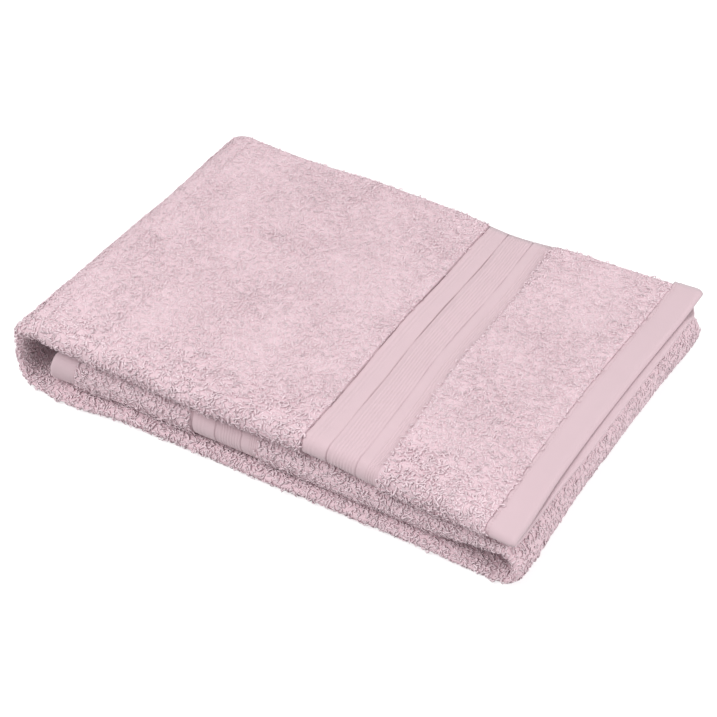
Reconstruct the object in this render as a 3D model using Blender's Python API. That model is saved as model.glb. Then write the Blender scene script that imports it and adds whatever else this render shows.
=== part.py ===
"""Folded bath towel.

One terry towel, folded in half along its length and then in thirds. The long half-fold faces -Y, the
hemmed side edges lie together at +Y, and the towel's two ends are the right end of the top leaf and
the left end of the middle leaf. Metres, +Z up, origin at the centre of the underside.
"""

from math import cos, pi, sin

import bmesh
import bpy
from mathutils import Vector

# Driving dimensions
STACK_LENGTH = 0.480  # left fold to right fold
STACK_WIDTH = 0.330  # half-fold at the front to side hems at the rear
LEAF_HEIGHT = 0.022  # one leaf: two plies of the towel
LEAF_GAP = 0.001  # air between two leaves
PLY_GAP = 0.001  # air between the two plies of a leaf
JOIN_GAP = 0.0003  # clearance where two pieces of the weave meet

TOP_END_SETBACK = 0.004  # right end of the top leaf, in from the right fold
MIDDLE_END_SETBACK = 0.046  # left end of the middle leaf, in from the left fold
END_HEM_WIDTH = 0.026
END_HEM_INSET = 0.002  # the hem has no pile, so it lies lower than the terry
END_HEM_PLY = 0.006
BORDER_WIDTH = 0.066
BORDER_FROM_END = 0.128  # end of the towel to the nearer edge of the woven border
BORDER_INSET = 0.0015

SIDE_HEM_WIDTH = 0.008
SIDE_HEM_THICKNESS = 0.005
SIDE_HEM_ROUNDING = 0.001
THREAD_RADIUS = 0.0004
SEAM_FROM_INNER_EDGE = 0.003  # row of stitches, in from the hem's inner edge

NOSE_STEPS = 12
FOLD_STEPS = 20
WELD_DISTANCE = 1e-6

# Each material's name, colour and roughness
LOOKS = {
    "terry": ("terry_pile", (0.768, 0.597, 0.651), 0.95),
    "border": ("border_weave", (0.791, 0.617, 0.665), 0.85),
    "hem": ("hem_cloth", (0.800, 0.625, 0.672), 0.85),
    "thread": ("sewing_thread", (0.810, 0.640, 0.685), 0.6),
}

# Places that follow from them
STACK_HEIGHT = 3 * LEAF_HEIGHT + 2 * LEAF_GAP
HALF_LENGTH = STACK_LENGTH / 2
FRONT = -STACK_WIDTH / 2
REAR = STACK_WIDTH / 2
LEFT_FOLD_RADIUS = STACK_HEIGHT / 2
RIGHT_FOLD_RADIUS = LEAF_HEIGHT + LEAF_GAP / 2
LEFT_FOLD_X = -HALF_LENGTH + LEFT_FOLD_RADIUS
RIGHT_FOLD_X = HALF_LENGTH - RIGHT_FOLD_RADIUS
LEAF_BASE = {
    "bottom": 0.0,
    "middle": LEAF_HEIGHT + LEAF_GAP,
    "top": 2 * (LEAF_HEIGHT + LEAF_GAP),
}
TOP_END_X = HALF_LENGTH - TOP_END_SETBACK
MIDDLE_END_X = -HALF_LENGTH + MIDDLE_END_SETBACK
PLY_THICKNESS = (LEAF_HEIGHT - PLY_GAP) / 2
TERRY_REAR = REAR - SIDE_HEM_WIDTH - JOIN_GAP


def clear_scene():
    for obj in list(bpy.data.objects):
        bpy.data.objects.remove(obj, do_unlink=True)


def make_collection(name):
    collection = bpy.data.collections.new(name)
    bpy.context.scene.collection.children.link(collection)
    return collection


def make_material(name, colour, roughness):
    material = bpy.data.materials.new(name)
    material.use_nodes = True
    shader = material.node_tree.nodes["Principled BSDF"]
    shader.inputs["Base Color"].default_value = (*colour, 1.0)
    shader.inputs["Roughness"].default_value = roughness
    shader.inputs["Metallic"].default_value = 0.0
    material.diffuse_color = (*colour, 1.0)
    return material


def leaf_section(inset, ply, rear):
    """Outline of a folded leaf across Y, as (y, z) about its mid-height: a hairpin open at the rear."""
    nose_y = FRONT + LEAF_HEIGHT / 2
    outer = LEAF_HEIGHT / 2 - inset
    inner = outer - ply
    angles = [pi / 2 + pi * step / NOSE_STEPS for step in range(NOSE_STEPS + 1)]
    around = [(nose_y + outer * cos(a), outer * sin(a)) for a in angles]
    within = [(nose_y + inner * cos(a), inner * sin(a)) for a in reversed(angles)]
    return [(rear, outer), *around, (rear, -outer), (rear, -inner), *within, (rear, inner)]


def hem_section(side):
    """Outline of one ply's side hem as (y, z) about the leaf's mid-height; side is 1 above or -1 below."""
    middle = side * (PLY_GAP + PLY_THICKNESS) / 2
    half = SIDE_HEM_THICKNESS / 2
    near, far = REAR - SIDE_HEM_WIDTH, REAR
    soft = SIDE_HEM_ROUNDING
    return [
        (near, middle - half),
        (far - soft, middle - half),
        (far, middle - half + soft),
        (far, middle + half - soft),
        (far - soft, middle + half),
        (near, middle + half),
    ]


def finish_mesh(name, bm, material, collection):
    bmesh.ops.remove_doubles(bm, verts=bm.verts, dist=WELD_DISTANCE)
    bmesh.ops.recalc_face_normals(bm, faces=bm.faces)
    mesh = bpy.data.meshes.new(name)
    bm.to_mesh(mesh)
    bm.free()
    mesh.materials.append(material)
    obj = bpy.data.objects.new(name, mesh)
    collection.objects.link(obj)
    return obj


def section_face(bm, outline, to_place):
    return bm.faces.new([bm.verts.new(to_place(y, z)) for y, z in outline])


def straight_piece(name, outline, left, right, mid_height, material, collection):
    """Extrudes a section along X from left to right."""
    bm = bmesh.new()
    face = section_face(bm, outline, lambda y, z: Vector((left, y, mid_height + z)))
    made = bmesh.ops.extrude_face_region(bm, geom=[face], use_keep_orig=True)
    moved = [item for item in made["geom"] if isinstance(item, bmesh.types.BMVert)]
    bmesh.ops.translate(bm, verts=moved, vec=(right - left, 0, 0))
    return finish_mesh(name, bm, material, collection)


def folded_piece(name, outline, centre_x, centre_z, mid_radius, side, material, collection):
    """Turns a section half round a Y axis, from under the axis to above it; side is -1 left, 1 right."""
    bm = bmesh.new()
    section_face(bm, outline, lambda y, z: Vector((centre_x, y, centre_z - mid_radius + z)))
    bmesh.ops.spin(
        bm,
        geom=bm.verts[:] + bm.edges[:] + bm.faces[:],
        cent=(centre_x, 0, centre_z),
        axis=(0, 1, 0),
        angle=-side * pi,
        steps=FOLD_STEPS,
    )
    close_ends(bm)
    return finish_mesh(name, bm, material, collection)


def close_ends(bm):
    """Fills any open loop that the spin leaves."""
    open_edges = [edge for edge in bm.edges if edge.is_boundary]
    if open_edges:
        bmesh.ops.contextual_create(bm, geom=open_edges)


def seam_thread(name, x, mid_height, material, collection):
    """One sewing thread on the end hem, round the front from the lower ply's rear to the upper's."""
    nose_y = FRONT + LEAF_HEIGHT / 2
    reach = LEAF_HEIGHT / 2 - END_HEM_INSET + JOIN_GAP + THREAD_RADIUS
    angles = [pi / 2 + pi * step / NOSE_STEPS for step in range(NOSE_STEPS + 1)]
    route = [(nose_y + reach * cos(a), reach * sin(a)) for a in angles]
    rear = TERRY_REAR
    route = [(rear, reach), *route, (rear, -reach)]
    curve = bpy.data.curves.new(name, "CURVE")
    curve.dimensions = "3D"
    curve.bevel_depth = THREAD_RADIUS
    curve.bevel_resolution = 1
    curve.use_fill_caps = True
    spline = curve.splines.new("POLY")
    spline.points.add(len(route) - 1)
    for point, (y, z) in zip(spline.points, route):
        point.co = (0, y, z, 1)
    curve.materials.append(material)
    obj = bpy.data.objects.new(name, curve)
    obj.location = (x, 0, mid_height)
    collection.objects.link(obj)
    return obj


def hang_on(parent, children):
    bpy.context.view_layer.update()
    for child in children:
        child.parent = parent
        child.matrix_parent_inverse = parent.matrix_world.inverted()


def end_of_towel(leaf, end_x, inward, terry_far, looks, collection):
    """The parts of a leaf that ends the towel: hem, terry strip, woven border and terry up to its fold.

    inward is the direction along X from the towel's end into the leaf.
    """
    mid_height = LEAF_BASE[leaf] + LEAF_HEIGHT / 2
    terry = leaf_section(0.0, PLY_THICKNESS, TERRY_REAR)
    border = leaf_section(BORDER_INSET, PLY_THICKNESS - BORDER_INSET, TERRY_REAR)
    hem = leaf_section(END_HEM_INSET, END_HEM_PLY, REAR)
    hem_edge = END_HEM_WIDTH
    border_edge = BORDER_FROM_END
    border_far = BORDER_FROM_END + BORDER_WIDTH
    zones = [
        ("end_hem", hem, 0.0, hem_edge, looks["hem"]),
        ("end_terry", terry, hem_edge + JOIN_GAP, border_edge - JOIN_GAP, looks["terry"]),
        ("woven_border", border, border_edge, border_far, looks["border"]),
        ("terry", terry, border_far + JOIN_GAP, abs(terry_far - end_x), looks["terry"]),
    ]
    made = []
    for zone, section, near, far, look in zones:
        left, right = sorted((end_x + inward * near, end_x + inward * far))
        name = f"{leaf}_{zone}"
        made.append(straight_piece(name, section, left, right, mid_height, look, collection))
    seam_x = end_x + inward * (END_HEM_WIDTH - SEAM_FROM_INNER_EDGE)
    made.append(seam_thread(f"{leaf}_hem_seam", seam_x, mid_height, looks["thread"], collection))
    left, right = sorted((end_x + inward * (END_HEM_WIDTH + JOIN_GAP), terry_far))
    made += side_hems(leaf, left, right, mid_height, looks, collection)
    return made


def side_hems(leaf, left, right, mid_height, looks, collection):
    made = []
    for place, side in (("lower", -1), ("upper", 1)):
        name = f"{leaf}_side_hem_{place}"
        outline = hem_section(side)
        made.append(straight_piece(name, outline, left, right, mid_height, looks["hem"], collection))
    return made


def fold(name, centre_x, centre_z, side, mid_radius, looks, collection):
    """A turn of the folded towel, with the side hems of its outer and inner ply."""
    terry = leaf_section(0.0, PLY_THICKNESS, TERRY_REAR)
    place = (centre_x, centre_z, mid_radius, side)
    made = [folded_piece(f"{name}_terry", terry, *place, looks["terry"], collection)]
    for ply, which in (("outer", -1), ("inner", 1)):
        hem_name = f"{name}_side_hem_{ply}"
        made.append(folded_piece(hem_name, hem_section(which), *place, looks["hem"], collection))
    return made


def build_towel():
    clear_scene()
    towel = make_collection("folded_bath_towel")
    looks = {use: make_material(*look) for use, look in LOOKS.items()}

    # Bottom leaf, and the fold that leads from it up to the middle leaf
    bottom_left = LEFT_FOLD_X + JOIN_GAP
    bottom_right = RIGHT_FOLD_X - JOIN_GAP
    bottom_mid = LEAF_BASE["bottom"] + LEAF_HEIGHT / 2
    terry = leaf_section(0.0, PLY_THICKNESS, TERRY_REAR)
    straight_piece("bottom_terry", terry, bottom_left, bottom_right, bottom_mid, looks["terry"], towel)
    side_hems("bottom", bottom_left, bottom_right, bottom_mid, looks, towel)
    right_mid_radius = RIGHT_FOLD_RADIUS - LEAF_HEIGHT / 2
    fold("right_fold", RIGHT_FOLD_X, RIGHT_FOLD_RADIUS, 1, right_mid_radius, looks, towel)
    end_of_towel("middle", MIDDLE_END_X, 1, RIGHT_FOLD_X - JOIN_GAP, looks, towel)

    # Left fold, which bends when the top leaf is opened
    left_mid_radius = LEFT_FOLD_RADIUS - LEAF_HEIGHT / 2
    fold("left_fold", LEFT_FOLD_X, LEFT_FOLD_RADIUS, -1, left_mid_radius, looks, towel)

    # Top leaf, which turns about the left fold
    hinge = bpy.data.objects.new("top_leaf_hinge", None)
    hinge.location = (-HALF_LENGTH, 0, LEFT_FOLD_RADIUS)
    towel.objects.link(hinge)
    top_leaf = end_of_towel("top", TOP_END_X, -1, LEFT_FOLD_X + JOIN_GAP, looks, towel)
    hang_on(hinge, top_leaf)


build_towel()
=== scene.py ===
import math

import bpy
import numpy as np
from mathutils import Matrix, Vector


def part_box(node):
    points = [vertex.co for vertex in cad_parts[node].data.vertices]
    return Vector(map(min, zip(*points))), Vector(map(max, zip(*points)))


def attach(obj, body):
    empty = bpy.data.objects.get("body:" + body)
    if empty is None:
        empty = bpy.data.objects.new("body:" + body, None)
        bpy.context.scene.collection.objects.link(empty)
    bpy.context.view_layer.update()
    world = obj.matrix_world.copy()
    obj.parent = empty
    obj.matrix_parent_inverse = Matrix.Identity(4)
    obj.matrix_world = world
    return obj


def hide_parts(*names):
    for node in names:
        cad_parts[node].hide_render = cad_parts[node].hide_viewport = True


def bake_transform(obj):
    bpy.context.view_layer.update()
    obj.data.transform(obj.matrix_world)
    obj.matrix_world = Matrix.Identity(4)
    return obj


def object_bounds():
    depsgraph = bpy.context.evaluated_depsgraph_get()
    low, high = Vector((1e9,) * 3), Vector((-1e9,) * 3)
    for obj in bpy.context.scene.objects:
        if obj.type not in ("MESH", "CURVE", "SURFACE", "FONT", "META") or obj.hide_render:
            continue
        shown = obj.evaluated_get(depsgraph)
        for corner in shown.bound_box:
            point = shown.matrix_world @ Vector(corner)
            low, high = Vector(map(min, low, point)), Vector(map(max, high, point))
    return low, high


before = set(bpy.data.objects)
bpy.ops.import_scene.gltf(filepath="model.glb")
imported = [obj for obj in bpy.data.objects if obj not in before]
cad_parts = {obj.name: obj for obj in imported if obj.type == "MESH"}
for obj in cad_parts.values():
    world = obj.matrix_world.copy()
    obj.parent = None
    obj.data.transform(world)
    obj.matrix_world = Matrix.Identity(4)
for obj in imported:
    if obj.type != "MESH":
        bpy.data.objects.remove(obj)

cadBox = [list(corner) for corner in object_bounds()]
bpy.ops.object.select_all(action="DESELECT")
print("frame loaded:", len(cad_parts), "nodes")

# how the folded cloth runs: from the top leaf's hem, round both folds, to the middle leaf's hem
topTerry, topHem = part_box("top_terry"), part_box("top_end_hem")
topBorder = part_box("top_woven_border")
midBorder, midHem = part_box("middle_woven_border"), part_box("middle_end_hem")
leftFold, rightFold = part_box("left_fold_terry"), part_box("right_fold_terry")
leafHalf = (topTerry[1].z - topTerry[0].z) / 2
frontY, rearY, terryRear = topTerry[0].y, topHem[1].y, topTerry[1].y
leftCentre = (leftFold[1].x, (leftFold[0].z + leftFold[1].z) / 2)
rightCentre = (rightFold[0].x, (rightFold[0].z + rightFold[1].z) / 2)
leftMid = (leftFold[1].z - leftFold[0].z) / 2 - leafHalf
rightMid = (rightFold[1].z - rightFold[0].z) / 2 - leafHalf
topEndX, midEndX = topHem[1].x, midHem[0].x
stackHeight = cadBox[1][2]
runs = [
    topEndX - leftCentre[0],
    math.pi * leftMid,
    rightCentre[0] - leftCentre[0],
    math.pi * rightMid,
    rightCentre[0] - midEndX,
]
marks = np.cumsum([0.0] + runs)


def alongTowel(run):
    # centre line of a leaf, and the way its upper ply faces
    run = np.asarray(run, float)
    leftTurn = np.clip((run - marks[1]) / leftMid, 0, math.pi)
    rightTurn = np.clip((run - marks[3]) / rightMid, 0, math.pi)
    turn = leftTurn + rightTurn
    facing = np.stack([-np.sin(turn), 0 * run, np.cos(turn)], -1)
    place = np.zeros_like(facing)
    place[..., 0] = np.where(run < marks[1], topEndX - run, leftCentre[0])
    place[..., 2] = leftCentre[1]
    inBottom = run > marks[2]
    place[..., 0] += np.where(inBottom, np.minimum(run, marks[3]) - marks[2], 0)
    place[..., 2] = np.where(inBottom, rightCentre[1], place[..., 2])
    place[..., 0] -= np.where(run > marks[4], run - marks[4], 0)
    arm = np.where(inBottom, rightMid, leftMid)
    return place + arm[..., None] * facing, facing


def smooth(low, high, value):
    share = np.clip((np.asarray(value, float) - low) / (high - low), 0, 1)
    return share * share * (3 - 2 * share)


def bump(centre, reach, value):
    return 1 - smooth(0.0, reach, np.abs(np.asarray(value, float) - centre))


def grain(points, size, seed):
    # soft random field from -1 to 1 over points, with lumps about this size
    at = points / size + seed * 17.31
    cell = np.floor(at)
    part = at - cell
    part = part * part * (3 - 2 * part)
    total = np.zeros(at.shape[:-1])
    for corner in range(8):
        step = np.array([corner & 1, corner >> 1 & 1, corner >> 2 & 1])
        spot = cell + step
        mixed = np.sin(spot @ np.array([12.9898, 78.233, 37.719]) + seed) * 43758.5453
        weight = np.prod(np.where(step == 1, part, 1 - part), axis=-1)
        total += weight * (mixed - np.floor(mixed))
    return total * 2 - 1


drape = {
    "pileRoom": 0.0012,  # the ground cloth lies this far under the loop tips
    "pinch": 0.0085,  # the left fold is pressed thin round its bend
    "frontGap": 0.0120,  # the leaves part at the front beside the right fold
    "recess": (-0.0002, 0.0034, -0.0006),  # front edges of the bottom, middle and top leaf
    "flatLevels": (0.0, 0.0225, 0.0455, 0.068),  # where the leaves meet, and where they meet at the front
    "frontLevels": (0.0, 0.0122, 0.0435, 0.068),
    "borderPull": 0.0052,  # the woven border draws the rear edge in
    "topSlant": (0.0085, 0.0045),  # the top border slants: right at the front, left at the rear
    "midSlant": 0.0075,  # and the middle leaf's border lies further right at the front
    # soft waves of the surface: turns along and across, where each begins, its share
    "waves": ((21, 9, 0.6, 0.5), (34, -27, 2.1, 0.3), (6, 31, 1.2, 0.35)),
    "swell": 0.0016,
    "ragged": 0.0012,  # unevenness of the rear edge
    "recessLevels": (0.006, 0.016, 0.029, 0.040, 0.053),
    "midPull": 0.7,
    "rearDrop": 0.0012,
    "cornerLift": 0.0048,  # the top leaf's left front corner rises
    "rearCorners": (0.0030, 0.0020),  # its rear corners reach back, left and right
    "noseReach": 0.0110,
    "hemLift": 0.0078,  # the hem's lower ply lies up against the upper one
    "noseSag": 0.0068,  # and at the front edge the upper ply comes down to it
    "hemThin": (0.0022, 0.0034),  # the leaf is thinner at its hem, but not at the rear
    "topSlip": 0.0072,  # lower ply's hem reaches further right
    "midSlip": 0.0090,  # lower ply's hem reaches further left
    "midReach": 0.0040,  # the middle leaf's end reaches into the left fold
    "cornerReach": 0.0030,  # the hem's rear corner is drawn out
    "rightFlare": 0.0046,  # the right fold spreads at its two ends
    "rightEnds": (0.65, 0.50),  # how far, at the rear and at the front
    "rightLift": 0.0030,  # and rises at the rear
    "leftFlare": (0.0012, 0.0030),  # the left fold's front and rear ends spread outwards
    "leftForward": 0.0062,  # the bottom leaf comes forward beside the left fold
    "leftUndercut": 0.0110,  # the left fold leans out over its foot
    "leftLevel": 0.0050,  # the middle leaf sinks beside the left fold
    "hemDroop": (0.0040, 0.0070),  # the top leaf's front corner hangs down: its upper side, its underside
}


def upperHeight(run, y, zone):
    height = np.full(np.broadcast(run, y).shape, leafHalf) - zone["inset"]
    rear = smooth(rearY - 0.05, rearY, y)
    nearFront = 1 - smooth(frontY + 0.01, frontY + 0.08, y)
    thin, less = drape["hemThin"]
    return height - bump(0.0, 0.06, run) * (thin - less * rear + drape["noseSag"] * nearFront)


def lowerHeight(run, y, zone):
    height = np.full(np.broadcast(run, y).shape, leafHalf) - zone["inset"]
    middle = (marks[1] + marks[2]) / 2
    height = height - drape["pinch"] * bump(middle, 0.052, run)
    nearFold = bump((marks[3] + marks[4]) / 2, 0.085, run)
    height = height - drape["frontGap"] * nearFold * bump(frontY, 0.085, y)
    lift = bump(0.0, 0.06, run) * smooth(frontY + 0.01, frontY + 0.08, y)
    return height - lift * drape["hemLift"] * (1 - 0.95 * smooth(rearY - 0.04, rearY, y))


def settle(points):
    # the whole pile of leaves sinks and swells together
    x, y, z = points[..., 0], points[..., 1], points[..., 2]
    share = z / stackHeight
    wave = sum(height * np.sin(x * along + y * over + begin) for along, over, begin, height in drape["waves"])
    front = 1 - smooth(frontY + 0.012, frontY + 0.07, y)
    rear = smooth(rearY - 0.07, rearY, y)
    b, m, t = drape["recess"]
    pushed = np.interp(z, drape["recessLevels"], [b, b, m, m, t])
    top = smooth(0.040, 0.048, z)
    middle = smooth(0.018, 0.024, z) * (1 - top)
    topAt, midAt = (topBorder[0].x + topBorder[1].x) / 2, (midBorder[0].x + midBorder[1].x) / 2
    pull = top * bump(topAt, 0.075, x) + drape["midPull"] * middle * bump(midAt, 0.075, x)
    ragged = grain(np.stack([x, 0 * x, np.round(z / 0.0225) * 0.05], -1), 0.06, 3)
    moved = points.copy()
    fullness = 1 - smooth(frontY + 0.02, frontY + 0.15, y)
    level = np.interp(z, drape["flatLevels"], drape["frontLevels"])
    level = level - drape["leftLevel"] * (1 - smooth(-0.21, -0.11, x)) * bump(0.0225, 0.0225, z)
    above, below = drape["hemDroop"]
    level = level - smooth(0.05, 0.13, x) * np.interp(z, [0.026, 0.0455, 0.068], [0, below, above])
    moved[..., 2] += fullness * (level - np.clip(z, 0, stackHeight))
    corner = (1 - smooth(-0.24, -0.16, x)) * (1 - 0.75 * smooth(-0.10, 0.06, y))
    rise = drape["cornerLift"] * corner - drape["rearDrop"] * rear
    moved[..., 2] += share * (wave * drape["swell"] + rise * top)
    moved[..., 1] -= drape["leftForward"] * front * bump(-0.178, 0.060, x) * (1 - smooth(0.014, 0.030, z))
    undercut = (1 - smooth(-0.24, -0.19, x)) * (1 - smooth(0.0, 0.034, z)) * (1 - smooth(-0.12, 0.05, y))
    moved[..., 0] += drape["leftUndercut"] * undercut
    forward = 1 - smooth(frontY, frontY + 0.18, y)
    slant = drape["topSlant"][0] * forward - drape["topSlant"][1] * smooth(0.05, rearY, y)
    moved[..., 0] += top * bump(topBorder[1].x - 0.010, 0.12, x) * slant
    moved[..., 0] += middle * bump(midAt, 0.09, x) * drape["midSlant"] * forward
    left, right = drape["rearCorners"]
    moved[..., 1] += rear * top * (left * (1 - smooth(-0.24, -0.19, x)) + right * smooth(0.12, 0.20, x))
    moved[..., 1] += front * pushed - rear * (drape["borderPull"] * pull + drape["ragged"] * (1 + ragged))
    return moved


def sheetPoints(run, across, zone, inner=False):
    run = np.asarray(run, float)[:, None]
    across = np.asarray(across, float)[None, :]
    place, facing = alongTowel(run[:, 0])
    reach = drape["noseReach"] - zone["inset"] * 0.6
    noseY = frontY + drape["noseReach"]
    rear = zone["rear"]
    up, down = upperHeight(run, noseY + 0 * run, zone), lowerHeight(run, noseY + 0 * run, zone)
    angle = np.clip(across - 1, 0, 1) * math.pi
    back = np.where(across < 1, 1 - across, np.where(across > 2, across - 2, 0))
    y = noseY + (rear - noseY) * back
    high, low = upperHeight(run, y, zone), lowerHeight(run, y, zone)
    if inner:
        ply = np.minimum(zone["ply"], 0.46 * (high + low))
        high, low = high - ply, low - ply
        plyNose = np.minimum(zone["ply"], 0.46 * (up + down))
        up, down = up - plyNose, down - plyNose
        reach = reach - plyNose
    noseMid, noseHalf = (up - down) / 2, (up + down) / 2
    q = np.where(across < 1, high, np.where(across > 2, -low, noseMid + noseHalf * np.cos(angle)))
    y = y - reach * np.sin(angle)
    points = place[:, None, :] + facing[:, None, :] * q[..., None]
    points[..., 1] = y
    # the two plies don't end quite together at the hems
    turned = smooth(1.25, 2.0, across)
    slack = smooth(frontY, frontY + 0.12, y)
    topShare = bump(0.0, 0.11, run) * turned * slack
    midShare = bump(marks[5], 0.11, run) * smooth(0.9, 2.0, across)
    slip = drape["topSlip"] * topShare * (1 - 1.4 * smooth(rearY - 0.03, rearY, y))
    points[..., 0] += slip - drape["midSlip"] * midShare - drape["midReach"] * bump(marks[5], 0.06, run)
    rearward = smooth(0.02, rearY, y)
    points[..., 0] += drape["cornerReach"] * bump(0.0, 0.11, run) * (1 - turned) * rearward
    rightShare = bump((marks[3] + marks[4]) / 2, 0.060, run)
    atRear, atFront = drape["rightEnds"]
    ends = atRear * smooth(0.085, rearY, y) + atFront * (1 - smooth(frontY, frontY + 0.14, y))
    points[..., 0] += drape["rightFlare"] * rightShare * ends
    points[..., 2] += drape["rightLift"] * rightShare * smooth(0.085, rearY, y)
    leftShare = bump((marks[1] + marks[2]) / 2, 0.075, run)
    forward, back = 1 - smooth(frontY + 0.02, frontY + 0.10, y), smooth(0.07, 0.15, y)
    points[..., 0] -= leftShare * (drape["leftFlare"][0] * forward + drape["leftFlare"][1] * back)
    return settle(points)


def gridNormals(points):
    alongRun = np.gradient(points, axis=0)
    alongRow = np.gradient(points, axis=1)
    normals = np.cross(alongRun, alongRow)
    return normals / np.maximum(np.linalg.norm(normals, axis=-1, keepdims=True), 1e-12)


def unit(vectors):
    return vectors / np.maximum(np.linalg.norm(vectors, axis=-1, keepdims=True), 1e-12)


# mesh helpers
def meshPiece(name, points, corners, counts, look):
    mesh = bpy.data.meshes.new(name)
    mesh.vertices.add(len(points))
    mesh.vertices.foreach_set("co", points.astype(np.float32).ravel())
    mesh.loops.add(len(corners))
    mesh.loops.foreach_set("vertex_index", corners.astype(np.int32))
    mesh.polygons.add(len(counts))
    starts = np.concatenate([[0], np.cumsum(counts)[:-1]])
    mesh.polygons.foreach_set("loop_start", starts.astype(np.int32))
    mesh.update(calc_edges=True)
    mesh.shade_smooth()
    mesh.materials.append(look)
    piece = bpy.data.objects.new(name, mesh)
    bpy.context.scene.collection.objects.link(piece)
    return piece


def keepValues(piece, label, values):
    layer = piece.data.attributes.new(label, "FLOAT", "POINT")
    layer.data.foreach_set("value", np.asarray(values, np.float32).ravel())


def clothMap(piece, uv):
    layer = piece.data.uv_layers.new(name="clothMap")
    index = np.empty(len(piece.data.loops), np.int32)
    piece.data.loops.foreach_get("vertex_index", index)
    layer.data.foreach_set("uv", uv[index].astype(np.float32).ravel())


def shell(name, outer, inner, look, uv):
    # closes an outer and an inner grid of points into one ply of cloth
    n, m = outer.shape[:2]
    a = np.arange(n * m).reshape(n, m)
    b = a + n * m

    def quads(p, q, r, s):
        return np.stack([p.ravel(), q.ravel(), r.ravel(), s.ravel()], -1)

    faces = [
        quads(a[:-1, :-1], a[1:, :-1], a[1:, 1:], a[:-1, 1:]),
        quads(b[:-1, :-1], b[:-1, 1:], b[1:, 1:], b[1:, :-1]),
        quads(a[0, :-1], a[0, 1:], b[0, 1:], b[0, :-1]),
        quads(a[-1, :-1], b[-1, :-1], b[-1, 1:], a[-1, 1:]),
        quads(a[:-1, 0], b[:-1, 0], b[1:, 0], a[1:, 0]),
        quads(a[:-1, -1], a[1:, -1], b[1:, -1], b[:-1, -1]),
    ]
    faces = np.concatenate(faces)
    points = np.concatenate([outer.reshape(-1, 3), inner.reshape(-1, 3)])
    piece = meshPiece(name, points, faces.ravel(), np.full(len(faces), 4), look)
    clothMap(piece, np.concatenate([uv.reshape(-1, 2)] * 2))
    return piece


# yarn: many small bent tubes in one piece, each closed, of 24 triangles
tubeSteps = np.array([-1.0, -0.62, 0.0, 0.62, 1.0])
tubeGirth = np.array([0.86, 1.0, 0.86])


def yarnPiece(name, spots, normals, heading, sizes, look):
    count = len(spots)
    side = np.cross(normals, heading)
    u = tubeSteps[None, :]
    arch = 1 - u * u
    ahead = u * sizes["length"][:, None] / 2
    sway = sizes["bend"][:, None] * arch + sizes["twist"][:, None] * u * arch * 2.4
    rise = -sizes["root"][:, None] + (sizes["height"] + sizes["root"])[:, None] * arch**0.62
    path = (
        spots[:, None, :]
        + ahead[..., None] * heading[:, None, :]
        + sway[..., None] * side[:, None, :]
        + rise[..., None] * normals[:, None, :]
    )
    tangent = unit(path[:, 2:] - path[:, :-2])
    across = unit(np.cross(normals[:, None, :], tangent))
    upward = np.cross(tangent, across)
    rings = []
    for turn in (90, 180, 270, 360):
        angle = math.radians(turn)
        reach = (sizes["radius"][:, None] * tubeGirth[None, :])[..., None]
        lying = math.cos(angle) * across + sizes["flatness"] * math.sin(angle) * upward
        rings.append(path[:, 1:-1] + reach * lying)
    rings = np.stack(rings, 2).reshape(count, 12, 3)
    points = np.concatenate([path[:, :1], rings, path[:, -1:]], 1)
    # loops under the towel are pressed flat, not pushed through the shelf
    height, pressed = points[..., 2], 0.001
    points[..., 2] = np.where(height < pressed, pressed * np.exp(np.minimum(height / pressed - 1, 0)), height)
    triangles, quads = [], []
    for k in range(4):
        after = (k + 1) % 4
        triangles.append([0, 1 + after, 1 + k])
        triangles.append([13, 9 + k, 9 + after])
        for start in (1, 5):
            quads.append([start + k, start + after, start + 4 + after, start + 4 + k])
    base = (np.arange(count) * 14)[:, None]
    tri = (base + np.array(triangles).ravel()[None, :]).reshape(-1)
    quad = (base + np.array(quads).ravel()[None, :]).reshape(-1)
    corners = np.concatenate([tri, quad])
    counts = np.concatenate([np.full(len(tri) // 3, 3), np.full(len(quad) // 4, 4)])
    piece = meshPiece(name, points.reshape(-1, 3), corners, counts, look)
    # painted shade: each loop is coloured darker at its sunk ends and towards the underside of its tube, where shade
    # would fall
    depth = np.clip(arch[0], 0, 1)
    shape = np.concatenate([depth[:1], np.repeat(depth[1:-1], 4), depth[-1:]])
    high = np.tile([1.0, 0.6, 0.3, 0.6], 3)
    shape = shape * np.concatenate([[1.0], high, [1.0]])
    keepValues(piece, "paintedLitShare", np.tile(shape, count))
    keepValues(piece, "yarnTone", np.repeat(sizes["tone"], 14))
    return piece


def scatter(points, spacing, chance, keep):
    # one spot per cell of cloth, jittered, as fractional grid places
    n, m = points.shape[:2]
    alongRun = np.concatenate([[0], np.cumsum(np.linalg.norm(np.diff(points, axis=0), axis=-1).mean(1))])
    alongRow = np.concatenate([[0], np.cumsum(np.linalg.norm(np.diff(points, axis=1), axis=-1).mean(0))])
    a = np.arange(spacing / 2, alongRun[-1], spacing)
    b = np.arange(spacing / 2, alongRow[-1], spacing)
    a, b = [g.ravel() for g in np.meshgrid(a, b, indexing="ij")]
    a = np.clip(a + chance.uniform(-0.5, 0.5, a.shape) * spacing, 0, alongRun[-1])
    b = np.clip(b + chance.uniform(-0.5, 0.5, b.shape) * spacing, 0, alongRow[-1])
    i = np.interp(a, alongRun, np.arange(n))
    j = np.interp(b, alongRow, np.arange(m))
    wanted = keep(i, j)
    return i[wanted], j[wanted]


def sampled(grid, i, j):
    i0 = np.clip(i.astype(int), 0, grid.shape[0] - 2)
    j0 = np.clip(j.astype(int), 0, grid.shape[1] - 2)
    fi, fj = (i - i0)[:, None], (j - j0)[:, None]
    near = grid[i0, j0] * (1 - fi) + grid[i0 + 1, j0] * fi
    far = grid[i0, j0 + 1] * (1 - fi) + grid[i0 + 1, j0 + 1] * fi
    return near * (1 - fj) + far * fj


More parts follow.
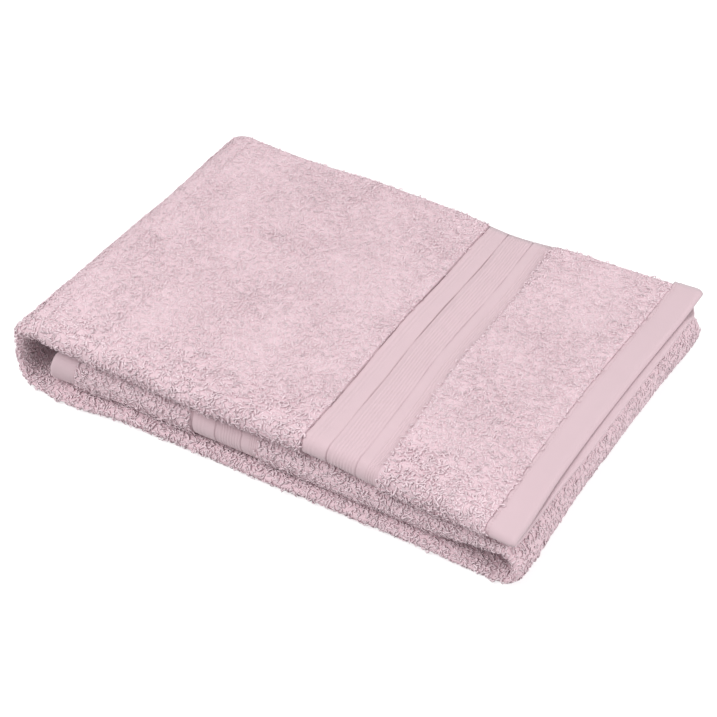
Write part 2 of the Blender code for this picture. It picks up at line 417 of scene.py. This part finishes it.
pile = {
    "length": (0.0031, 0.0009),
    "bend": 0.0015,
    "twist": 0.0009,
    "height": (0.0005, 0.00030),
    "root": 0.0005,
    "radius": (0.00066, 0.00012),
    "flatness": 0.42,
    "stray": 0.0007,  # loops stand a little off their row
    "lie": (0.016, 2.2, 1.3),  # size of a patch that lies one way, its turn, the turn of single loops
    "roughPatch": 0.030,
    "shaded": 0.12,  # share of loops that lie in shade, and their tone beside the others'
    "shadedTone": -3.2,
    "tone": (0.3, 0.5),
    "perPiece": 8200,  # keeps each piece under 200 000 triangles
}


def pileOver(name, points, normals, spacing, seed, keep, grow, lift):
    # covers a grid of cloth with terry loops, as one or more pieces
    chance = np.random.default_rng(seed)
    i, j = scatter(points, spacing, chance, keep)
    spots, facing = sampled(points, i, j), unit(sampled(normals, i, j))
    ahead = sampled(np.gradient(points, axis=0), i, j)
    ahead = unit(ahead - facing * np.sum(ahead * facing, -1, keepdims=True))
    beside = np.cross(facing, ahead)
    count = len(spots)
    spots = spots + ahead * chance.normal(0, pile["stray"], count)[:, None]
    patch, patchTurn, loopTurn = pile["lie"]
    lie = grain(spots, patch, 5) * patchTurn + chance.normal(0, loopTurn, count)
    heading = np.cos(lie)[:, None] * ahead + np.sin(lie)[:, None] * beside
    rough = 0.5 + 0.5 * grain(spots, pile["roughPatch"], 8)
    sizes = {
        "flatness": pile["flatness"],
        "length": chance.normal(*pile["length"], count).clip(0.0022, 0.0070) * grow,
        "bend": chance.normal(0, pile["bend"], count) * grow,
        "twist": chance.normal(0, pile["twist"], count) * grow,
        "height": chance.normal(*pile["height"], count).clip(0.0001, 0.0016) * (0.5 + 0.9 * rough) * grow * lift,
        "root": np.full(count, pile["root"]),
        "radius": chance.normal(*pile["radius"], count).clip(0.0004, 0.0012) * grow,
        "tone": np.where(
            chance.random(count) < pile["shaded"], pile["shadedTone"], chance.normal(*pile["tone"], count)
        ),
    }
    made = []
    parts = max(1, math.ceil(count / pile["perPiece"]))
    for part, chosen in enumerate(np.array_split(np.argsort(i, kind="stable"), parts)):
        label = name if parts == 1 else f"{name}{part + 1}"
        own = {key: values if np.isscalar(values) else values[chosen] for key, values in sizes.items()}
        made.append(yarnPiece(label, spots[chosen], facing[chosen], heading[chosen], own, looks["pile"]))
    return made


# materials
def makeGroup(name, inputs, outputs):
    group = bpy.data.node_groups.new(name, "ShaderNodeTree")
    for label, kind, value in inputs:
        socket = group.interface.new_socket(label, in_out="INPUT", socket_type=kind)
        socket.default_value = value
    for label, kind in outputs:
        group.interface.new_socket(label, in_out="OUTPUT", socket_type=kind)
    return group, group.nodes.new("NodeGroupInput"), group.nodes.new("NodeGroupOutput")


def addNode(tree, kind, settings=(), **values):
    node = tree.nodes.new(kind)
    for key, value in dict(settings).items():
        setattr(node, key, value)
    for key, value in values.items():
        node.inputs[key.replace("_", " ")].default_value = value
    return node


def buildYarnTone():
    # cotton colour: patches where the pile lies differently, single yarns lighter or darker with a share of them in
    # painted shade, and painted shade at the loops' roots and undersides and in the border's grooves
    group, start, end = makeGroup(
        "yarnTone",
        [
            ("Colour", "NodeSocketColor", (0.7, 0.55, 0.6, 1)),
            ("Painted Shade Colour", "NodeSocketColor", (0.5, 0.3, 0.36, 1)),
            ("Patches", "NodeSocketFloat", 0.1),
            ("Yarns", "NodeSocketFloat", 0.05),
            ("Lit Share Base", "NodeSocketFloat", 0.0),
        ],
        [("Colour", "NodeSocketColor")],
    )
    links = group.links
    coords = addNode(group, "ShaderNodeTexCoord")
    patch = addNode(group, "ShaderNodeTexNoise", Scale=42.0, Detail=3.0, Roughness=0.6)
    speck = addNode(group, "ShaderNodeTexNoise", Scale=900.0, Detail=2.0, Roughness=0.6)
    links.new(coords.outputs["Object"], patch.inputs["Vector"])
    links.new(coords.outputs["Object"], speck.inputs["Vector"])
    # painted shade: this attribute says how much of the lit colour shows, and the rest is the darker shade colour
    depth = addNode(group, "ShaderNodeAttribute", {"attribute_name": "paintedLitShare"})
    tone = addNode(group, "ShaderNodeAttribute", {"attribute_name": "yarnTone"})
    deep = addNode(group, "ShaderNodeMath", {"operation": "ADD", "use_clamp": True})
    links.new(depth.outputs["Fac"], deep.inputs[0])
    links.new(start.outputs["Lit Share Base"], deep.inputs[1])
    body = addNode(group, "ShaderNodeMix", {"data_type": "RGBA"})
    links.new(deep.outputs[0], body.inputs[0])
    links.new(start.outputs["Painted Shade Colour"], body.inputs[6])
    links.new(start.outputs["Colour"], body.inputs[7])

    def centred(source, amount):
        shift = addNode(group, "ShaderNodeMath", {"operation": "SUBTRACT"})
        shift.inputs[1].default_value = 0.5
        group.links.new(source, shift.inputs[0])
        scaled = addNode(group, "ShaderNodeMath", {"operation": "MULTIPLY"})
        group.links.new(shift.outputs[0], scaled.inputs[0])
        group.links.new(amount, scaled.inputs[1])
        return scaled.outputs[0]

    patches = centred(patch.outputs["Fac"], start.outputs["Patches"])
    specks = centred(speck.outputs["Fac"], start.outputs["Yarns"])
    each = addNode(group, "ShaderNodeMath", {"operation": "MULTIPLY"})
    links.new(tone.outputs["Fac"], each.inputs[0])
    links.new(start.outputs["Yarns"], each.inputs[1])
    both = addNode(group, "ShaderNodeMath", {"operation": "ADD"})
    links.new(patches, both.inputs[0])
    links.new(specks, both.inputs[1])
    whole = addNode(group, "ShaderNodeMath", {"operation": "ADD"})
    links.new(both.outputs[0], whole.inputs[0])
    links.new(each.outputs[0], whole.inputs[1])
    level = addNode(group, "ShaderNodeMath", {"operation": "ADD"})
    level.inputs[1].default_value = 1.0
    links.new(whole.outputs[0], level.inputs[0])
    final = addNode(group, "ShaderNodeHueSaturation")
    links.new(level.outputs[0], final.inputs["Value"])
    links.new(body.outputs[2], final.inputs["Color"])
    links.new(final.outputs["Color"], end.inputs["Colour"])
    return group


def buildFibres():
    # loose cotton fibres on the yarn: a height and a roughness that change over it
    group, start, end = makeGroup(
        "cottonFibres",
        [("Scale", "NodeSocketFloat", 1400.0), ("Roughness", "NodeSocketFloat", 0.92)],
        [("Height", "NodeSocketFloat"), ("Roughness", "NodeSocketFloat")],
    )
    coords = addNode(group, "ShaderNodeTexCoord")
    noise = addNode(group, "ShaderNodeTexNoise", Detail=3.0, Roughness=0.65)
    group.links.new(coords.outputs["Object"], noise.inputs["Vector"])
    group.links.new(start.outputs["Scale"], noise.inputs["Scale"])
    group.links.new(noise.outputs["Fac"], end.inputs["Height"])
    span = addNode(group, "ShaderNodeMapRange")
    span.inputs["To Min"].default_value = -0.08
    span.inputs["To Max"].default_value = 0.06
    group.links.new(noise.outputs["Fac"], span.inputs["Value"])
    rough = addNode(group, "ShaderNodeMath", {"operation": "ADD", "use_clamp": True})
    group.links.new(span.outputs[0], rough.inputs[0])
    group.links.new(start.outputs["Roughness"], rough.inputs[1])
    group.links.new(rough.outputs[0], end.inputs["Roughness"])
    return group


def buildWeave():
    # flat woven cloth, measured along the cloth itself: warp and weft threads and slubs
    group, start, end = makeGroup(
        "flatWeave",
        [
            ("Warp", "NodeSocketFloat", 900.0),
            ("Weft", "NodeSocketFloat", 700.0),
            ("Slubs", "NodeSocketFloat", 0.3),
        ],
        [("Height", "NodeSocketFloat"), ("Mask", "NodeSocketFloat")],
    )
    links = group.links
    uv = addNode(group, "ShaderNodeUVMap", {"uv_map": "clothMap"})
    split = addNode(group, "ShaderNodeSeparateXYZ")
    links.new(uv.outputs["UV"], split.inputs[0])
    waves = []
    for axis, rate in (("X", "Warp"), ("Y", "Weft")):
        speed = addNode(group, "ShaderNodeMath", {"operation": "MULTIPLY"})
        links.new(split.outputs[axis], speed.inputs[0])
        links.new(start.outputs[rate], speed.inputs[1])
        turn = addNode(group, "ShaderNodeMath", {"operation": "MULTIPLY"})
        turn.inputs[1].default_value = 2 * math.pi
        links.new(speed.outputs[0], turn.inputs[0])
        wave = addNode(group, "ShaderNodeMath", {"operation": "SINE"})
        links.new(turn.outputs[0], wave.inputs[0])
        waves.append(wave.outputs[0])
    crossed = addNode(group, "ShaderNodeMath", {"operation": "MULTIPLY"})
    links.new(waves[0], crossed.inputs[0])
    links.new(waves[1], crossed.inputs[1])
    stretch = addNode(group, "ShaderNodeMapping")
    stretch.inputs["Scale"].default_value = (900.0, 60.0, 1.0)
    links.new(uv.outputs["UV"], stretch.inputs["Vector"])
    slub = addNode(group, "ShaderNodeTexNoise", Scale=1.0, Detail=3.0, Roughness=0.6)
    links.new(stretch.outputs[0], slub.inputs["Vector"])
    uneven = addNode(group, "ShaderNodeMath", {"operation": "MULTIPLY"})
    links.new(slub.outputs["Fac"], uneven.inputs[0])
    links.new(start.outputs["Slubs"], uneven.inputs[1])
    height = addNode(group, "ShaderNodeMath", {"operation": "ADD"})
    links.new(crossed.outputs[0], height.inputs[0])
    links.new(uneven.outputs[0], height.inputs[1])
    links.new(height.outputs[0], end.inputs["Height"])
    links.new(slub.outputs["Fac"], end.inputs["Mask"])
    return group


yarnToneGroup, fibreGroup, weaveGroup = buildYarnTone(), buildFibres(), buildWeave()


def newMaterial(name, values):
    material = bpy.data.materials.new(name)
    material.use_nodes = True
    tree = material.node_tree
    shader = tree.nodes["Principled BSDF"]
    shader.inputs["Sheen Weight"].default_value = values["sheen"]
    shader.inputs["Sheen Roughness"].default_value = 0.5
    shader.inputs["Specular IOR Level"].default_value = 0.2
    tone = tree.nodes.new("ShaderNodeGroup")
    tone.node_tree = yarnToneGroup
    tone.inputs["Colour"].default_value = (*values["colour"], 1)
    tone.inputs["Painted Shade Colour"].default_value = (*values["root"], 1)
    tone.inputs["Patches"].default_value = values["patches"]
    tone.inputs["Yarns"].default_value = values["yarns"]
    tone.inputs["Lit Share Base"].default_value = values["depth"]
    tree.links.new(tone.outputs["Colour"], shader.inputs["Base Color"])
    fibres = tree.nodes.new("ShaderNodeGroup")
    fibres.node_tree = fibreGroup
    fibres.inputs["Scale"].default_value = values["fibreScale"]
    fibres.inputs["Roughness"].default_value = values["roughness"]
    tree.links.new(fibres.outputs["Roughness"], shader.inputs["Roughness"])
    relief = addNode(tree, "ShaderNodeBump")
    relief.inputs["Strength"].default_value = values["relief"]
    relief.inputs["Distance"].default_value = values["reliefDepth"]
    if "weave" in values:
        weave = tree.nodes.new("ShaderNodeGroup")
        weave.node_tree = weaveGroup
        for label, value in values["weave"].items():
            weave.inputs[label].default_value = value
        join = addNode(tree, "ShaderNodeMath", {"operation": "MULTIPLY_ADD"})
        join.inputs[1].default_value = 0.4
        tree.links.new(weave.outputs["Height"], join.inputs[2])
        tree.links.new(fibres.outputs["Height"], join.inputs[0])
        tree.links.new(join.outputs[0], relief.inputs["Height"])
    else:
        tree.links.new(fibres.outputs["Height"], relief.inputs["Height"])
    tree.links.new(relief.outputs["Normal"], shader.inputs["Normal"])
    return material


looks = {
    "pile": newMaterial("cottonLoops", {
        # root: the painted shade colour at the loops' roots and undersides, and depth lets part of the lit colour show
        # even there
        "colour": (0.833, 0.668, 0.715), "root": (0.745, 0.545, 0.597), "patches": 0.08, "yarns": 0.045,
        "depth": 0.25, "sheen": 0.15, "roughness": 0.93, "relief": 0.5, "reliefDepth": 0.0004, "fibreScale": 1500.0,
    }),
    "ground": newMaterial("groundCloth", {
        "colour": (0.79, 0.590, 0.642), "root": (0.79, 0.590, 0.642), "patches": 0.10, "yarns": 0.05,
        "depth": 1.0, "sheen": 0.15, "roughness": 0.95, "relief": 0.8, "reliefDepth": 0.0008, "fibreScale": 700.0,
    }),
    "border": newMaterial("wovenBorder", {
        # root: the painted shade colour of the border's grooves
        "colour": (0.690, 0.515, 0.555), "root": (0.440, 0.300, 0.335), "patches": 0.05, "yarns": 0.03,
        "depth": 0.0, "sheen": 0.3, "roughness": 0.84, "relief": 0.35, "reliefDepth": 0.0003, "fibreScale": 900.0,
        "weave": {"Warp": 1250.0, "Weft": 560.0, "Slubs": 1.2},
    }),
    "hem": newMaterial("hemCloth", {
        "colour": (0.655, 0.492, 0.532), "root": (0.655, 0.492, 0.532), "patches": 0.04, "yarns": 0.02,
        "depth": 1.0, "sheen": 0.3, "roughness": 0.84, "relief": 0.3, "reliefDepth": 0.0002, "fibreScale": 900.0,
        "weave": {"Warp": 900.0, "Weft": 900.0, "Slubs": 0.8},
    }),
    "thread": newMaterial("sewingThread", {
        "colour": (0.720, 0.550, 0.590), "root": (0.720, 0.550, 0.590), "patches": 0.03, "yarns": 0.03,
        "depth": 1.0, "sheen": 0.2, "roughness": 0.65, "relief": 0.4, "reliefDepth": 0.0001, "fibreScale": 2500.0,
    }),
}
print("materials made:", len(looks))


# the towel, zone by zone
def rowsFor(upperStep, lowerStep, noseSteps=12):
    span = terryRear - frontY - drape["noseReach"]
    upper = np.linspace(0, 1, max(4, round(span / upperStep)) + 1)[:-1]
    nose = np.linspace(1, 2, noseSteps + 1)[:-1]
    lower = np.linspace(2, 3, max(4, round(span / lowerStep)) + 1)
    return np.concatenate([upper, nose, lower])


def clothUv(run, across):
    span = terryRear - frontY - drape["noseReach"]
    length = np.interp(across, [0, 1, 2, 3], np.cumsum([0, span, math.pi * drape["noseReach"], span]))
    return np.stack(np.broadcast_arrays(np.asarray(run)[:, None], length[None, :]), -1)


terryZone = {"inset": drape["pileRoom"], "ply": 0.0092, "rear": terryRear + 0.5 * (rearY - terryRear)}
groundLumps = ((0.0004, 0.0052, 2), (0.0006, 0.021, 4))  # height, size and seed
edges = {
    "topHem": (0.0, topEndX - topHem[0].x),
    "topEnd": (topEndX - topHem[0].x, topEndX - topBorder[1].x),
    "topBorder": (topEndX - topBorder[1].x, topEndX - topBorder[0].x),
    "topTerry": (topEndX - topBorder[0].x, marks[1]),
    "leftFold": (marks[1], marks[2]),
    "bottom": (marks[2], marks[3]),
    "rightFold": (marks[3], marks[4]),
    "midTerry": (marks[4], marks[5] - (midBorder[1].x - midEndX)),
    "midBorder": (marks[5] - (midBorder[1].x - midEndX), marks[5] - (midBorder[0].x - midEndX)),
    "midEnd": (marks[5] - (midBorder[0].x - midEndX), marks[5] - (midHem[1].x - midEndX)),
    "midHem": (marks[5] - (midHem[1].x - midEndX), marks[5]),
}


def terrySheet(name, zone, step, rows):
    low, high = edges[zone]
    run = np.linspace(low, high, max(2, round((high - low) / step)) + 1)
    outer = sheetPoints(run, rows, terryZone)
    normals = gridNormals(outer)
    lumps = sum(height * grain(outer, size, seed) for height, size, seed in groundLumps)
    outer = outer + normals * lumps[..., None]
    outer[..., 2] = np.maximum(outer[..., 2], 0.0002)  # nothing goes below the shelf
    inner = sheetPoints(run, rows, terryZone, inner=True)
    piece = shell(name, outer, inner, looks["ground"], clothUv(run, rows))
    return piece, outer, gridNormals(outer), run


def isBetween(rows, low, high):
    # loops from one place round the towel to another: 0 to 1 upper side, to 2 front edge, to 3 underside
    def keep(i, j):
        across = np.interp(j, np.arange(len(rows)), rows)
        mixed = np.sin(i * 12.9898 + j * 78.233) * 43758.5453
        across = across + 0.16 * (mixed - np.floor(mixed) - 0.5)
        return (across > low) & (across < high)
    return keep


pieces = []


def fixTo(piece, body):
    if body == "left fold":
        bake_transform(piece)
    else:
        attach(piece, body)
    pieces.append(piece)


def settlePiece(piece, node, body):
    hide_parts(node)
    fixTo(piece, body)


flatWidth = 2 * (terryRear - frontY - drape["noseReach"]) + math.pi * leafHalf
sheets = {}


def isSheet(zone, cloth, run, extras, width=flatWidth):
    # its cut: across the unfolded towel, by its own length along it
    sheets[zone] = {"cloth": cloth, "flat": (width, run[-1] - run[0]), "extras": list(extras)}


def coverWith(name, outer, normals, rows, loopSets, seed, body):
    # each set of loops: where round the towel it begins and ends, then its spacing, size, lift and seed
    made = []
    for label, (low, high, spacing, grow, lift, ownSeed) in loopSets.items():
        chosen = isBetween(rows, low, high)
        made += pileOver(name + label, outer, normals, spacing, seed + ownSeed, chosen, grow, lift)
    for piece in made:
        fixTo(piece, body)
    return made


topPile = {
    "Loops": (-1, 0.93, 0.00215, 1, 1.05, 0),
    "FrontLoops": (0.93, 2.12, 0.0026, 1.25, 1.35, 21),
    "UnderLoops": (2.12, 4, 0.0038, 1.35, 1.0, 40),
}
rowsTop = rowsFor(0.0030, 0.0060)
for label, zone, node, seed in (
    ("topTerry", "topTerry", "top_terry", 11), ("topEndTerry", "topEnd", "top_end_terry", 12),
):
    cloth, outer, normals, run = terrySheet(label, zone, 0.0030, rowsTop)
    settlePiece(cloth, node, "top_leaf")
    isSheet(zone, cloth, run, coverWith(label, outer, normals, rowsTop, topPile, seed, "top_leaf"))
print("top leaf's terry made")

# the left fold, its pieces left fixed in place and attached to no body
leftPile = {
    "Loops": (-1, 0.93, 0.0022, 1, 0.8, 0),
    "FrontLoops": (0.93, 2.12, 0.0026, 1.25, 1.35, 20),
    "InnerLoops": (2.12, 4, 0.0026, 1.25, 1.35, 20),
}
rowsFold = rowsFor(0.0030, 0.0040)
cloth, outer, normals, run = terrySheet("leftFoldTerry", "leftFold", 0.0018, rowsFold)
settlePiece(cloth, "left_fold_terry", "left fold")
isSheet("leftFold", cloth, run, coverWith("leftFold", outer, normals, rowsFold, leftPile, 13, "left fold"))
print("left fold made")

# bottom leaf, bare underneath where it lies on the shelf
bottomPile = {"FrontLoops": (0.93, 2.08, 0.0026, 1.25, 1.35, 0)}
rowsBottom = rowsFor(0.0055, 0.0100)
cloth, outer, normals, run = terrySheet("bottomTerry", "bottom", 0.0035, rowsBottom)
settlePiece(cloth, "bottom_terry", "folded_stack")
isSheet("bottom", cloth, run, coverWith("bottom", outer, normals, rowsBottom, bottomPile, 14, "folded_stack"))

# right fold
rightPile = {"Loops": (-1, 0.93, 0.0022, 1, 0.6, 0), "FrontLoops": (0.93, 2.25, 0.0026, 1.15, 1.1, 20)}
rowsRight = rowsFor(0.0030, 0.0100)
cloth, outer, normals, run = terrySheet("rightFoldTerry", "rightFold", 0.0012, rowsRight)
settlePiece(cloth, "right_fold_terry", "folded_stack")
isSheet("rightFold", cloth, run, coverWith("rightFold", outer, normals, rowsRight, rightPile, 15, "folded_stack"))

# middle leaf
middlePile = {"FrontLoops": (0.9, 2.1, 0.0026, 1.25, 1.35, 21), "Loops": (-1, 0.9, 0.0039, 1.35, 1.0, 9)}
rowsMiddle = rowsFor(0.0045, 0.0100)
for label, zone, node, seed in (
    ("middleTerry", "midTerry", "middle_terry", 16), ("middleEndTerry", "midEnd", "middle_end_terry", 17),
):
    cloth, outer, normals, run = terrySheet(label, zone, 0.0035, rowsMiddle)
    settlePiece(cloth, node, "folded_stack")
    isSheet(zone, cloth, run, coverWith(label, outer, normals, rowsMiddle, middlePile, seed, "folded_stack"))
print("bottom leaf, right fold and middle leaf made")

# woven borders: smooth bands, grooves and fine ribs that run from the rear round the front edge
border = {
    "inset": 0.0020,
    "ply": 0.0070,
    "step": 0.0004,
    "waver": 0.0007,  # grooves and ribs don't run quite straight
    "swell": 0.0005,
    "fullShadeDepth": 0.0019,  # a groove this deep gets the full painted shade colour
    # from the border's right edge: where a groove lies, how deep and how wide
    "grooves": ((0.0190, 0.0008, 0.0005), (0.0415, 0.0005, 0.0005), (0.0440, 0.0013, 0.0005), (0.0650, 0.0016, 0.0007)),
    "ribs": ((0.0010, 0.0120, 0.00022, 0.0022), (0.0195, 0.0430, 0.00020, 0.0026), (0.0520, 0.0620, 0.00012, 0.0034)),
}


def borderRelief(fromEdge, uneven):
    relief = np.zeros_like(fromEdge)
    for place, depth, width in border["grooves"]:
        relief -= depth * uneven * np.exp(-(((fromEdge - place) / width) ** 2))
    for low, high, depth, pitch in border["ribs"]:
        inside = smooth(low, low + 0.002, fromEdge) * (1 - smooth(high - 0.002, high, fromEdge))
        relief += depth * inside * np.cos(2 * math.pi * fromEdge / pitch)
    return relief


def borderSheet(name, zone, node, body):
    low, high = edges[zone]
    run = np.linspace(low, high, round((high - low) / border["step"]) + 1)
    rows = rowsFor(0.0060, 0.0120)
    own = {"inset": border["inset"], "ply": border["ply"], "rear": terryZone["rear"]}
    outer = sheetPoints(run, rows, own)
    normals = gridNormals(outer)
    fromEdge = (run - low)[:, None] + border["waver"] * grain(outer, 0.045, 21)
    swell = border["swell"] * grain(outer, 0.030, 6)
    relief = borderRelief(fromEdge, 0.8 + 0.45 * grain(outer, 0.022, 13))
    outer = outer + normals * (relief + swell)[..., None]
    inner = sheetPoints(run, rows, own, inner=True)
    cloth = shell(name, outer, inner, looks["border"], clothUv(run, rows))
    # painted shade: the grooves are coloured darker by their depth, as shade would fall in them
    grooveLitShare = np.clip(1 + relief / border["fullShadeDepth"], 0, 1)
    keepValues(cloth, "paintedLitShare", np.concatenate([grooveLitShare.ravel(), np.ones(grooveLitShare.size)]))
    settlePiece(cloth, node, body)
    isSheet(zone, cloth, run, [])


borderSheet("topBorder", "topBorder", "top_woven_border", "top_leaf")
borderSheet("middleBorder", "midBorder", "middle_woven_border", "folded_stack")
print("woven borders made")

# end hems: turned twice and sewn, without pile
hem = {
    "inset": 0.0020,
    "ply": 0.0042,
    "step": 0.0016,
    "roundOff": 0.0022,
    "thin": 0.0024,  # towards its folded edge
    "corner": 0.0016,  # the rear corner is folded in
    "seamAt": 0.023,  # from the towel's end
    "pucker": 0.0003,
    "wave": 0.0004,
    "dip": 0.0004,  # of the cloth under the stitches
}
stitch = {"pitch": 0.0030, "length": 0.0026, "height": 0.0002, "root": 0.0003, "radius": 0.0003}


def hemSheet(name, zone, node, body, seamNode, endAt):
    low, high = edges[zone]
    run = np.linspace(low, high, round((high - low) / hem["step"]) + 1)
    rows = rowsFor(0.0045, 0.0060)
    own = {"inset": hem["inset"], "ply": hem["ply"], "rear": rearY}
    outer = sheetPoints(run, rows, own)
    inner = sheetPoints(run, rows, own, inner=True)
    normals = gridNormals(outer)
    fromEnd = np.abs(run - endAt)[:, None]
    # the folded edge is round, and the cloth puckers a little at the stitches
    thin = hem["thin"] * (1 - smooth(0.0, hem["roundOff"], fromEnd))
    pucker = hem["pucker"] * grain(outer, 0.006, 9) * bump(hem["seamAt"], 0.006, fromEnd)
    dip = hem["dip"] * bump(hem["seamAt"], 0.0012, fromEnd)
    outer = outer + normals * (pucker + hem["wave"] * grain(outer, 0.035, 7) - thin - dip)[..., None]
    # the rear corner is folded in, so it's round too
    corner = hem["corner"] * (1 - smooth(0.0, 0.006, fromEnd)) * smooth(rearY - 0.010, rearY, outer[..., 1])
    outer[..., 1] -= corner
    inner[..., 1] -= corner
    cloth = shell(name, outer, inner, looks["hem"], clothUv(run, rows))
    settlePiece(cloth, node, body)
    # one row of stitches
    index = np.interp(abs(endAt - hem["seamAt"]), run, np.arange(len(run)))
    i, j = np.full(len(rows), index), np.arange(len(rows)) * 1.0
    line, facing = sampled(outer, i, j), unit(sampled(normals, i, j))
    length = np.concatenate([[0], np.cumsum(np.linalg.norm(np.diff(line, axis=0), axis=-1))])
    stops = np.arange(0.004, length[-1] - 0.004, stitch["pitch"])
    spots = np.stack([np.interp(stops, length, line[:, k]) for k in range(3)], -1)
    normal = unit(np.stack([np.interp(stops, length, facing[:, k]) for k in range(3)], -1))
    ahead = unit(np.gradient(spots, axis=0))
    even = np.ones(len(stops))
    sizes = {key: stitch[key] * even for key in ("length", "height", "root", "radius")}
    sizes.update({"bend": 0 * even, "twist": 0 * even, "tone": 0 * even, "flatness": 1.0})
    stitches = yarnPiece(f"{name}Stitches", spots, normal, ahead, sizes, looks["thread"])
    settlePiece(stitches, seamNode, body)
    isSheet(zone, cloth, run, [stitches], flatWidth + 2 * (rearY - terryRear))


hemSheet("topHem", "topHem", "top_end_hem", "top_leaf", "top_hem_seam", 0.0)
hemSheet("middleHem", "midHem", "middle_end_hem", "folded_stack", "middle_hem_seam", marks[5])
print("end hems made")

# side hems: a narrow turned strip along the rear of each ply
sideHem = {"thick": 0.0038, "overlap": 0.0015, "lower": 0.0012, "rounding": 0.0018}


def sideHemStrip(name, low, high, upper, node, body, step):
    run = np.linspace(low, high, max(2, round((high - low) / step)) + 1)
    place, facing = alongTowel(run)
    middle = leafHalf / 2 - sideHem["lower"]
    half, rounding = sideHem["thick"] / 2, sideHem["rounding"]
    near, far = terryRear - sideHem["overlap"], rearY
    profile = [(near, -half), (far - rounding, -half), (far - rounding * 0.3, -half * 0.7), (far, 0.0)]
    profile += [(y, -q) for y, q in reversed(profile[:3])]
    sign = 1 if upper else -1
    pinch = drape["pinch"] * bump((marks[1] + marks[2]) / 2, 0.052, run) * (0 if upper else 1)
    rings = []
    for y, q in profile:
        level = sign * middle + q + pinch * 0.6
        points = place + facing * np.asarray(level)[..., None]
        points[:, 1] = y
        rings.append(settle(points))
    grid = np.stack(rings, 1)
    n, m = grid.shape[:2]
    index = np.arange(n * m).reshape(n, m)
    after = np.roll(index, -1, axis=1)
    quads = np.stack([index[:-1], index[1:], after[1:], after[:-1]], -1).reshape(-1, 4)
    corners = np.concatenate([quads.ravel(), index[0], index[-1][::-1]])
    counts = np.concatenate([np.full(len(quads), 4), [m, m]])
    strip = meshPiece(name, grid.reshape(-1, 3), corners, counts, looks["hem"])
    uv = np.stack(np.broadcast_arrays(run[:, None], np.arange(m)[None, :] * 0.003), -1)
    clothMap(strip, uv.reshape(-1, 2))
    settlePiece(strip, node, body)
    return strip


fold = {"top": (edges["topHem"][1], marks[1]), "bottom": (marks[2], marks[3]), "middle": (marks[4], edges["midHem"][0])}
for leaf, body in (("top", "top_leaf"), ("bottom", "folded_stack"), ("middle", "folded_stack")):
    low, high = fold[leaf]
    for upper in (True, False):
        # the bottom leaf lies turned over, so its upper ply is the lower one there
        word = "upper" if upper != (leaf == "bottom") else "lower"
        strip = sideHemStrip(f"{leaf}SideHem{word.title()}", low, high, upper, f"{leaf}_side_hem_{word}", body, 0.004)
        sheets[{"top": "topTerry", "bottom": "bottom", "middle": "midTerry"}[leaf]]["extras"].append(strip)
for side, low, high in (("left", marks[1], marks[2]), ("right", marks[3], marks[4])):
    body = "left fold" if side == "left" else "folded_stack"
    for upper in (True, False):
        word = "outer" if upper else "inner"
        label, node = f"{side}FoldSideHem{word.title()}", f"{side}_fold_side_hem_{word}"
        strip = sideHemStrip(label, low, high, upper, node, body, 0.002)
        sheets[f"{side}Fold"]["extras"].append(strip)
print("side hems made,", len(sheets), "sheets of cloth declared")

# floor, light and camera
bpy.ops.mesh.primitive_plane_add(size=60, location=(0, 0, -0.0006))
floor = bpy.context.active_object
floor.name = "floor"
bpy.ops.object.select_all(action="DESELECT")
floorLook = bpy.data.materials.new("paleFloor")
floorLook.use_nodes = True
floorShader = floorLook.node_tree.nodes["Principled BSDF"]
floorShader.inputs["Base Color"].default_value = (0.55, 0.55, 0.55, 1)
floorShader.inputs["Roughness"].default_value = 0.9
floorShader.inputs["Emission Color"].default_value = (1, 1, 1, 1)
floorShader.inputs["Emission Strength"].default_value = 0.62
floor.data.materials.append(floorLook)
floor.visible_diffuse = False  # the white floor doesn't light the towel from below

light = {"sky": 0.51, "overhead": 0.5, "overheadSize": 3.2, "right": 38.0, "front": 47.0, "sideSize": 2.0}
world = bpy.data.worlds.new("studio")
world.use_nodes = True
world.node_tree.nodes["Background"].inputs["Color"].default_value = (1, 1, 1, 1)
world.node_tree.nodes["Background"].inputs["Strength"].default_value = light["sky"]
bpy.context.scene.world = world
bpy.context.scene.view_settings.view_transform = "Standard"


def softbox(name, spot, aim, power, size):
    lamp = bpy.data.lights.new(name, "AREA")
    lamp.energy, lamp.size, lamp.shape = power, size, "DISK"
    holder = bpy.data.objects.new(name, lamp)
    holder.location = spot
    holder.rotation_euler = (Vector(aim) - Vector(spot)).to_track_quat("-Z", "Y").to_euler()
    bpy.context.scene.collection.objects.link(holder)


softbox("overheadSoftbox", (-0.2, 0.5, 2.6), (0, 0, 0), light["overhead"], light["overheadSize"])
softbox("rightSoftbox", (2.3, 0.5, 1.1), (0, 0, 0), light["right"], light["sideSize"])
softbox("frontSoftbox", (-1.0, -1.5, 2.0), (0, 0, 0), light["front"], light["sideSize"])

shot = {"azimuth": 31.1, "elevation": 40.1, "distance": 1.85, "target": (0.008, -0.0115, 0.02), "lens": 110.5}
camera = bpy.data.objects.new("camera", bpy.data.cameras.new("camera"))
turn, tilt = math.radians(shot["azimuth"]), math.radians(shot["elevation"])
away = Vector((math.sin(turn) * math.cos(tilt), -math.cos(turn) * math.cos(tilt), math.sin(tilt)))
camera.location = Vector(shot["target"]) + away * shot["distance"]
camera.rotation_euler = (-away).to_track_quat("-Z", "Y").to_euler()
camera.data.lens = shot["lens"]
bpy.context.scene.collection.objects.link(camera)
bpy.context.scene.camera = camera
print("stage set")

triangles = sum(len(face.vertices) - 2 for piece in pieces for face in piece.data.polygons)
print("pieces:", len(pieces), "triangles:", triangles)
bpy.context.view_layer.update()
